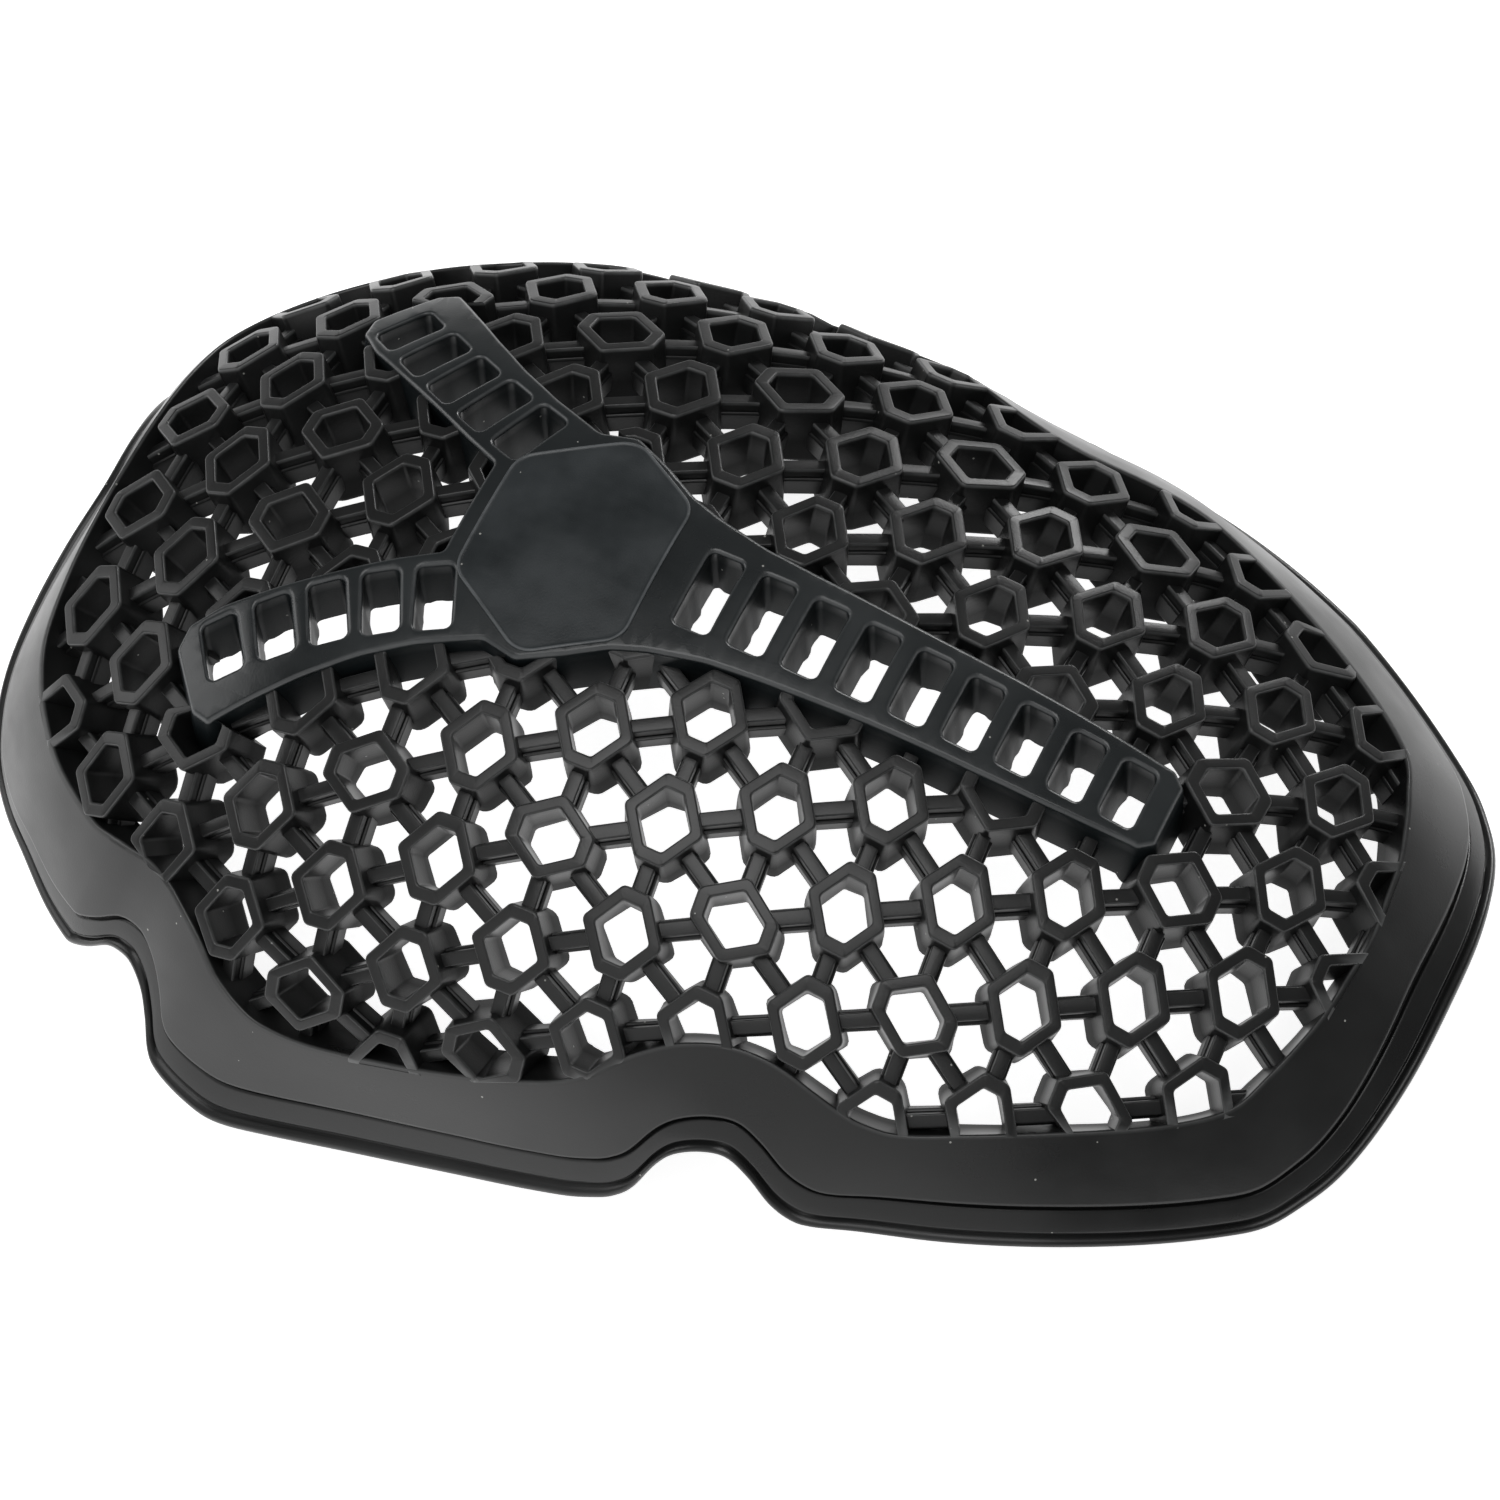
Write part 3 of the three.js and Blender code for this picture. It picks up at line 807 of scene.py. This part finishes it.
@dataclass
class BarField:
    """The short bars between neighbouring tubes, and from the outer tubes into the flange and the arms."""

    lattice: Lattice
    start: float = 4.9
    into_flange: float = 1.2
    into_crown: float = 1.0
    # Points tried on the line between two middles, how many have to be clear, and rows of vertices on a bar
    tried: int = 73
    fewest: int = 4
    rows: int = 4
    # Half of the section: half width and height, from the top down; the ledge is the tool's parting line
    section: tuple[tuple[float, float], ...] = (
        (0.86, -2.45), (1.1, -2.65), (1.17, -4.2), (1.28, -4.35), (1.6, -4.4), (1.7, -4.6), (1.57, -7.4),
        (1.3, -7.7),
    )

    def runs(self) -> tuple[np.ndarray, np.ndarray]:
        """Where the bars run: the part of the line between two middles that is clear.

        A point is clear if it lies outside both tubes' holes and not deep inside the flange or the arms.

        Returns:
            Middles of each bar's rows of vertices, and its direction.
        """
        a, b, a_tube, b_tube = self.lattice.pairs()
        share = np.linspace(0, 1, self.tried)
        line = a[:, None, :] + share[None, :, None] * (b - a)[:, None, :]
        in_field, _ = depth_inside(self.lattice.inner, line.reshape(-1, 2))
        in_crown, _ = depth_inside(self.lattice.crown, line.reshape(-1, 2))
        clear = (in_field > -self.into_flange) & (in_crown < self.into_crown)
        clear = clear.reshape(line.shape[:2])
        clear &= ~a_tube[:, None] | (share * self.lattice.pitch > self.start)
        clear &= ~b_tube[:, None] | ((1 - share) * self.lattice.pitch > self.start)
        keep = clear.sum(axis=1) >= self.fewest
        a, b, clear = a[keep], b[keep], clear[keep]
        first = share[np.argmax(clear, axis=1)]
        last = share[share.size - 1 - np.argmax(clear[:, ::-1], axis=1)]
        run = first[:, None] + (last - first)[:, None] * np.linspace(0, 1, self.rows)
        return a[:, None, :] + run[..., None] * (b - a)[:, None, :], (b - a) / self.lattice.pitch

    def build(self, material: bpy.types.Material) -> bpy.types.Object:
        """Makes all bars as one mesh of closed prisms: the section runs straight along each clear line.

        Args:
            material: Its finish.

        Returns:
            The piece.
        """
        middle, along = self.runs()
        aside = np.stack([-along[:, 1], along[:, 0]], axis=1)
        half = np.array(self.section)
        loop = np.vstack([half * [-1, 1], half[::-1]])
        flat = middle[:, :, None, :] + loop[None, None, :, 0, None] * aside[:, None, None, :]
        height = np.broadcast_to(loop[:, 1], flat.shape[:3])
        flat = np.concatenate([flat, height[..., None]], axis=-1)
        count, rows, around = flat.shape[:3]
        offset = (np.arange(count) * rows * around)[:, None, None]
        side = loop_faces(rows, around, False)
        ends = np.stack([np.arange(around)[::-1], np.arange(around) + (rows - 1) * around])
        faces = (side + offset).reshape(-1, 4).tolist() + (ends + offset).reshape(-1, around).tolist()
        flat = flat.reshape(-1, 3)
        return make_piece("bar_field", flat, faces, material, half[0, 1] - flat[:, 2])


@dataclass
class Flange:
    """The smooth band all round, with a step down to the sewing lip and a bead along its edge."""

    outline: np.ndarray
    steps: int = 6
    # The top starts a distance out from the inner line and ends a distance in from the lip's edge; the
    # underside starts a distance in from the lip's edge and ends a distance out from the inner line
    top_from: float = 0.35
    top_to: float = 8.2
    under_from: float = 1.1
    under_to: float = 0.5
    # Flare: rise of the lip, how far it is drawn in over that rise, and s where it starts, is full, starts to
    # end and ends
    flare: float = 3.0
    flare_draw: float = 0.5
    flare_span: tuple[float, float, float, float] = (15.0, 55.0, 105.0, 142.0)
    # Section from the foot of the inner wall over the top to the lip and back underneath
    section: tuple[tuple[Edge, float, float], ...] = (
        (Edge.INNER, 0.0, -8.5), (Edge.INNER, 0.0, -4.5), (Edge.INNER, 0.0, -0.6), (Edge.INNER, 0.1, -0.28),
        (Edge.INNER, 0.35, -0.14), (Edge.TOP, 0.05, -0.25), (Edge.TOP, 0.35, -1.07), (Edge.TOP, 0.7, -2.05),
        (Edge.TOP, 1.0, -2.88), (Edge.LIP, -7.85, -2.98), (Edge.LIP, -7.62, -3.16), (Edge.LIP, -7.5, -3.5),
        (Edge.LIP, -7.44, -4.5), (Edge.LIP, -7.3, -4.92), (Edge.LIP, -7.0, -5.05), (Edge.LIP, -6.72, -4.95),
        (Edge.LIP, -6.58, -4.62), (Edge.LIP, -6.4, -4.46), (Edge.LIP, -6.0, -4.42), (Edge.LIP, -4.3, -4.5),
        (Edge.LIP, -2.95, -4.6), (Edge.LIP, -2.65, -4.7), (Edge.LIP, -2.5, -5.05), (Edge.LIP, -2.28, -5.35),
        (Edge.LIP, -2.02, -5.3), (Edge.LIP, -1.82, -4.95), (Edge.LIP, -1.6, -4.6), (Edge.LIP, -1.25, -4.36),
        (Edge.LIP, -0.85, -4.32), (Edge.LIP, -0.4, -4.55), (Edge.LIP, -0.1, -5.05), (Edge.LIP, 0.0, -5.7),
        (Edge.LIP, -0.12, -6.4), (Edge.LIP, -0.5, -6.95), (Edge.LIP, -1.1, -7.2), (Edge.UNDER, 0.3, -7.7),
        (Edge.UNDER, 0.6, -8.3), (Edge.UNDER, 0.9, -8.9), (Edge.INNER, 0.5, -9.0), (Edge.INNER, 0.1, -8.85),
    )

    def build(self, material: bpy.types.Material) -> bpy.types.Object:
        """Carries the section round the outline.

        Each station of the smooth outline has a lip point and an inner point; a point of the section lies a
        distance from one of them, or a share of the way between them, along the line that joins them. On the
        flanks towards the sleeve end the band flares: it rises in proportion to its distance from the inner
        line, and is drawn in by a part of that.

        Args:
            material: Its finish.

        Returns:
            The piece.
        """
        ring = spline(self.outline, self.steps)
        edge, inner = ring[:, :2], ring[:, 2:]
        width = np.linalg.norm(edge - inner, axis=1)
        out = (edge - inner) / width[:, None]
        flare = self.flare * np.interp(inner[:, 0], self.flare_span, (0, 1, 1, 0))
        rows, depth = [], []
        for origin, place, w in self.section:
            match origin:
                case Edge.INNER:
                    reach = np.full_like(width, place)
                case Edge.LIP:
                    reach = width + place
                case Edge.TOP:
                    reach = self.top_from + place * (width - self.top_to - self.top_from)
                case Edge.UNDER:
                    reach = (1 - place) * (width - self.under_from) + place * self.under_to
            rise = flare * np.clip(reach / width, 0, 1)
            flat = inner + (reach - self.flare_draw * rise)[:, None] * out
            rows.append(np.column_stack([flat, w + rise]))
            # Only the inner wall carries depth: its upper edge gets a painted highlight, its lower part
            # painted shade
            depth.append(np.full(len(flat), -w if origin is Edge.INNER else 0.0))
        faces = loop_faces(len(rows), len(ring), True)
        return make_piece("flange", np.concatenate(rows), faces, material, np.concatenate(depth))


@dataclass(frozen=True)
class SlotRow:
    """One arm's row of slots: middle of the first, step to the next and change of step, each in s and t."""

    first: tuple[float, float]
    step: tuple[float, float]
    change: tuple[float, float]
    count: int
    # Length of the first slot and of the last, across the arm
    length: tuple[float, float]


@dataclass
class Crown:
    """Hub and ladder arms, one stiff plate as deep as the tubes, with rounded edges and slots."""

    outline: np.ndarray
    top: float = 0.8
    foot: float = -9.2
    slot_width: float = 5.9
    slot_corner: float = 1.1
    slot_corner_points: int = 5
    slot_spacing: float = 1.0
    long_arm: SlotRow = SlotRow((22.8, 0.0), (9.05, 0.0), (0.0, 0.0), 9, (14.0, 9.8))
    side_arm: SlotRow = SlotRow((-16.3, -16.5), (-7.8, -3.1), (0.1, -0.5), 5, (10.8, 9.8))
    # Flash in the slots: how far it reaches, the depths it starts and would be full at, and two wave lengths
    flash: float = 0.5
    flash_depths: tuple[float, float] = (1.6, 9.6)
    flash_waves: tuple[float, float] = (0.9, 2.3)
    # Grid on the face: spacing, room to the walls, and a shift that keeps its points off the walls' own lines
    grid: float = 2.6
    grid_room: float = 1.7
    grid_shift: tuple[float, float] = (0.013, 0.017)
    # Wall section: how far in from the wall, and height below the top
    section: tuple[tuple[float, float], ...] = (
        (0.75, 0.0), (0.38, 0.1), (0.12, 0.35), (0.0, 0.75), (-0.15, 4.5), (-0.3, 9.4), (0.0, 9.85),
        (0.4, 10.0),
    )

    def slots(self, row: SlotRow) -> list[np.ndarray]:
        """Outlines of one arm's slots, anticlockwise: round-cornered oblongs across the arm.

        Args:
            row: The arm's slot row.

        Returns:
            A ring of points for each slot.
        """
        middle, step = np.array(row.first), np.array(row.step)
        rings = []
        for length in np.linspace(*row.length, row.count):
            along = step / np.linalg.norm(step)
            aside = np.array([-along[1], along[0]])
            a, b = self.slot_width / 2, length / 2
            box = np.array([[a, -b], [a, b], [-a, b], [-a, -b]])
            ring = divide(rounded_ring(box, self.slot_corner, self.slot_corner_points), self.slot_spacing)
            rings.append(middle + ring[:, :1] * along + ring[:, 1:] * aside)
            middle, step = middle + step, step + row.change
        return rings

    def wall(self, ring: np.ndarray, number: int) -> np.ndarray:
        """Carries the wall section round the outline or a slot.

        A point lies in from the ring by the section's inset and leans over the dome with the tool's cores.
        The outer wall leans only where that takes it outwards. Low in the slots the wall bulges inwards by
        the product of two sine waves of the way round, where thin flash was left.

        Args:
            ring: The outline, anticlockwise, or a slot, clockwise.
            number: 0 for the outline, and the slot's number otherwise.

        Returns:
            Flat points, a row for each point of the section.
        """
        inset, drop = np.array(self.section).T
        normal, lean = outward(ring), draw_lean(ring)
        flash = np.zeros(len(ring))
        if number:
            run = np.cumsum(np.linalg.norm(ring - np.roll(ring, 1, axis=0), axis=1))
            quick, slow = (run / wave for wave in self.flash_waves)
            flash = self.flash * np.maximum(np.sin(quick + number) * np.sin(slow + 2 * number), 0)
        else:
            lean = np.maximum(np.sum(lean * normal, axis=1, keepdims=True), 0) * normal
        reach = inset[:, None] - np.interp(drop, self.flash_depths, (0, 1))[:, None] * flash
        flat = ring - reach[..., None] * normal + drop[:, None, None] * lean
        height = np.broadcast_to((self.top - drop)[:, None, None], flat.shape[:2] + (1,))
        return np.concatenate([flat, height], axis=2)

    def face_points(self, slots: Sequence[np.ndarray]) -> np.ndarray:
        """Points of a square grid on the plate's face, clear of all walls.

        Args:
            slots: Outlines of the slots.

        Returns:
            Flat positions, one a row.
        """
        low, high = self.outline.min(axis=0), self.outline.max(axis=0)
        s, t = np.meshgrid(np.arange(low[0], high[0], self.grid), np.arange(low[1], high[1], self.grid))
        points = np.stack([s.ravel(), t.ravel()], axis=1) + self.grid_shift
        room = depth_inside(self.outline, points)[0]
        for ring in slots:
            room = np.minimum(room, -depth_inside(ring, points)[0])
        return points[room > self.grid_room]

    @staticmethod
    def face_triangles(rims: Sequence[np.ndarray], points: np.ndarray) -> np.ndarray:
        """Fills the face between the walls' upper edges with triangles through the grid's points.

        Args:
            rims: Upper edges of the walls, the outline's first.
            points: The grid's points.

        Returns:
            Three numbers a face, anticlockwise; the rims' points are counted first, then the grid's.
        """
        plan = np.vstack([*rims, points])
        edges, start = [], 0
        for rim in rims:
            number = np.arange(len(rim))
            edges.append(start + np.stack([number, np.roll(number, -1)], axis=1))
            start += len(rim)
        found = delaunay_2d_cdt([Vector(p) for p in plan.tolist()], np.vstack(edges).tolist(), [], 0, TINY)
        origin = np.array([numbers[0] for numbers in found[3]])
        triangles = origin[np.array(found[2])]
        middle = plan[triangles].mean(axis=1)
        solid = depth_inside(rims[0], middle)[0] > 0
        for rim in rims[1:]:
            solid &= depth_inside(rim, middle)[0] < 0
        triangles = triangles[solid]
        a, b, c = (plan[triangles[:, k]] for k in range(3))
        area = (b - a)[:, 0] * (c - a)[:, 1] - (b - a)[:, 1] * (c - a)[:, 0]
        triangles[area < 0] = triangles[area < 0][:, ::-1]
        return triangles

    def build(self, material: bpy.types.Material) -> bpy.types.Object:
        """Makes the plate.

        The wall section runs round the outline and round each slot. Between the walls' upper edges the top is
        filled with triangles on a fine grid, and the foot takes the same triangles, moved with the walls and
        turned over.

        Args:
            material: Its finish.

        Returns:
            The piece.
        """
        side = self.slots(self.side_arm)
        slots = self.slots(self.long_arm) + side + [ring[::-1] * [1, -1] for ring in side]
        rings = [self.outline] + [ring[::-1] for ring in slots]
        walls = [self.wall(ring, number) for number, ring in enumerate(rings)]
        points = self.face_points(slots)
        triangles = self.face_triangles([wall[0, :, :2] for wall in walls], points)
        rows = len(self.section)
        faces, upper, lower, start = [], [], [], 0
        for ring in rings:
            number = start + np.arange(rows * len(ring)).reshape(rows, len(ring))
            faces += (start + loop_faces(rows, len(ring), False)[:, ::-1]).tolist()
            upper.append(number[0])
            lower.append(number[-1])
            start += number.size
        upper.append(start + np.arange(len(points)))
        lower.append(start + len(points) + np.arange(len(points)))
        faces += np.concatenate(upper)[triangles].tolist()
        faces += np.concatenate(lower)[triangles[:, ::-1]].tolist()
        under = points + (self.top - self.foot) * draw_lean(points)
        flat = np.vstack([wall.reshape(-1, 3) for wall in walls] + [
            np.column_stack([points, np.full(len(points), self.top)]),
            np.column_stack([under, np.full(len(points), self.foot)])])
        return make_piece("hub_and_arms", flat, faces, material, self.top - flat[:, 2])


@dataclass
class HubPanel:
    """The plain six-sided panel set into the hub's face, a little proud of it."""

    top: float = 0.8
    corner: float = 5.0
    corner_points: int = 14
    spacing: float = 1.2
    corners: tuple[tuple[float, float], ...] = (
        (14.4, -13.1), (14.2, 12.9), (0.3, 21.4), (-15.6, 11.2), (-15.6, -11.2), (0.0, -21.4),
    )
    # Section from under the rim to the middle: share of the outline, distance in from it, height over the hub
    section: tuple[tuple[float, float, float], ...] = (
        (1.0, 0.1, -0.6), (1.0, 0.0, 0.04), (1.0, 0.06, 0.2), (1.0, 0.2, 0.28), (1.0, 0.38, 0.25),
        (1.0, 0.55, 0.14), (1.0, 0.8, 0.1), (1.0, 1.2, 0.1), (0.8, 1.2, 0.1), (0.6, 1.2, 0.1),
        (0.4, 1.2, 0.1), (0.2, 1.2, 0.1), (0.06, 0.0, 0.1),
    )

    def build(self, material: bpy.types.Material) -> bpy.types.Object:
        """Makes the panel: its outline, drawn in towards the middle ring by ring, with a thin raised rim.

        Only the rim's height over the face counts as depth, so that it alone gets the painted highlight.

        Args:
            material: Its finish.

        Returns:
            The piece.
        """
        ring = divide(rounded_ring(np.array(self.corners), self.corner, self.corner_points), self.spacing)
        normal = outward(ring)
        share, inset, rise = np.array(self.section).T[:, :, None, None]
        flat = share * (ring - inset * normal)
        height = np.broadcast_to(self.top + rise, flat.shape[:2] + (1,))
        flat = np.concatenate([flat, height], axis=2)
        rows, around = flat.shape[:2]
        faces = loop_faces(rows, around, False).tolist()
        faces.append(list(range(around))[::-1])
        faces.append([(rows - 1) * around + i for i in range(around)])
        rim = np.broadcast_to(np.maximum(rise - self.section[-1][2], 0), (rows, around, 1))
        return make_piece("hub_panel", flat.reshape(-1, 3), faces, material, rim.ravel())


@dataclass(frozen=True)
class SoftBox:
    """A square soft box that faces the object."""

    name: str
    place_m: tuple[float, float, float]
    side_m: float
    power_w: float

    def build(self) -> None:
        """Hangs the box and turns it to the origin."""
        data = bpy.data.lights.new(self.name, "AREA")
        data.size = self.side_m
        data.energy = self.power_w
        lamp = bpy.data.objects.new(self.name, data)
        lamp.location = self.place_m
        lamp.rotation_euler = (-Vector(self.place_m)).to_track_quat("-Z", "Y").to_euler()
        bpy.context.scene.collection.objects.link(lamp)


@dataclass(frozen=True)
class Studio:
    """Pale floor, soft light and the camera."""

    elevation: float = 1.017169
    azimuth: float = -0.436171
    aim_mm: tuple[float, float, float] = (-26.674, -31.613, 1143.369)
    lens_mm: float = 180.0
    sensor_mm: float = 36.0
    floor_reach_m: float = 4.0
    surround: str = "f2f2f2"
    surround_light: float = 0.24
    lamps: tuple[SoftBox, ...] = (
        SoftBox("overhead soft box", (0.1, -0.1, 1.3), 0.8, 6.5),
        SoftBox("left soft box", (-1.2, -0.2, 0.65), 0.8, 4.6),
        SoftBox("back soft box", (0.1, 1.2, 0.5), 0.35, 4.5),
        SoftBox("front soft box", (0.1, -1.4, 0.85), 1.9, 8.4),
    )

    def camera(self) -> None:
        """Sets the camera where the picture was taken from.

        Its view, right and down axes come from the two angles in the dome's own frame, and its place from
        where the dome's crown lies before it; both are then turned and shifted as the dome is.
        """
        ca, sa = math.cos(self.azimuth), math.sin(self.azimuth)
        ce, se = math.cos(self.elevation), math.sin(self.elevation)
        ahead = np.array([sa * ce, ca * ce, -se])
        right = np.array([ca, -sa, 0.0])
        down = np.cross(ahead, right)
        place = -np.stack([right, down, ahead]).T @ np.array(self.aim_mm)
        turn = rest_turn()
        axes = turn @ np.stack([right, -down, -ahead], axis=1)
        pose = Matrix(axes.tolist()).to_4x4()
        pose.translation = Vector(((turn @ place + REST_SHIFT) * MM).tolist())
        data = bpy.data.cameras.new("camera")
        data.lens = self.lens_mm
        data.sensor_width = self.sensor_mm
        camera = bpy.data.objects.new("camera", data)
        bpy.context.scene.collection.objects.link(camera)
        camera.matrix_world = pose
        bpy.context.scene.camera = camera

    def floor(self) -> None:
        """Lays the floor: a level sheet far wider than the view."""
        mesh = bpy.data.meshes.new("floor")
        reach = self.floor_reach_m
        corners = [(-reach, -reach, 0), (reach, -reach, 0), (reach, reach, 0), (-reach, reach, 0)]
        mesh.from_pydata(corners, [], [(0, 1, 2, 3)])
        mesh.materials.append(PaleFloor().build())
        sheet = bpy.data.objects.new("floor", mesh)
        bpy.context.scene.collection.objects.link(sheet)

    def build(self) -> None:
        """Sets up camera, floor, surroundings and lamps."""
        self.camera()
        self.floor()
        world = bpy.data.worlds.new("pale studio")
        world.use_nodes = True
        backdrop = world.node_tree.nodes["Background"]
        backdrop.inputs["Color"].default_value = linear(self.surround)
        backdrop.inputs["Strength"].default_value = self.surround_light
        bpy.context.scene.world = world
        for lamp in self.lamps:
            lamp.build()


def main() -> None:
    """Builds the moulding piece by piece, sets the studio round it and logs each piece's face count."""
    logging.basicConfig(level=logging.INFO, format="%(message)s")
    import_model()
    bpy.context.scene.view_settings.view_transform = "Standard"
    Studio().build()
    # Each finish sets its own painted edge highlight colour and how far painted shade takes its sheen down on
    # deep walls
    smooth = MouldedElastomer("black moulded elastomer, polished tool face", sheen=(0.42, 0.1)).build()
    etched = MouldedElastomer(
        "black moulded elastomer, etched tool face", roughness=(0.28, 0.42), grain_depth_mm=0.018,
        sheen=(0.44, 0.1), edge_highlight_colour="5e5f5f", edge_highlight_share=1.0).build()
    stiff = MouldedElastomer(
        "blue-black moulded elastomer, polished tool face", deep="0c0f10", pale="191f21",
        roughness=(0.22, 0.4), sheen=(0.5, 0.14), shade_and_rough_mm=(0.6, 2.6), edge_highlight_colour="585a5b").build()
    panel = MouldedElastomer(
        "blue-black moulded elastomer, etched panel", deep="101415", pale="282e31", roughness=(0.26, 0.52),
        grain_depth_mm=0.02, cloud_mm=12.0, dust_share=0.4, sheen=(0.5, 0.5), edge_highlight_colour="6a6d6f").build()
    outline = mirrored(FLANGE_OUTLINE)
    crown_ring = divide(cut_corners(mirrored(CROWN_OUTLINE), radius=1.6, rounds=2), longest=2.5)
    lattice = Lattice(spline(outline[:, 2:], steps=3), crown_ring)
    for piece in (
        TubeField(lattice).build(etched),
        BarField(lattice).build(etched),
        Flange(outline).build(smooth),
        Crown(crown_ring).build(stiff),
        HubPanel().build(panel),
    ):
        log.info("%s: %d faces", piece.name, len(piece.data.polygons))
    bpy.context.view_layer.update()


if __name__ == "__main__":
    main()
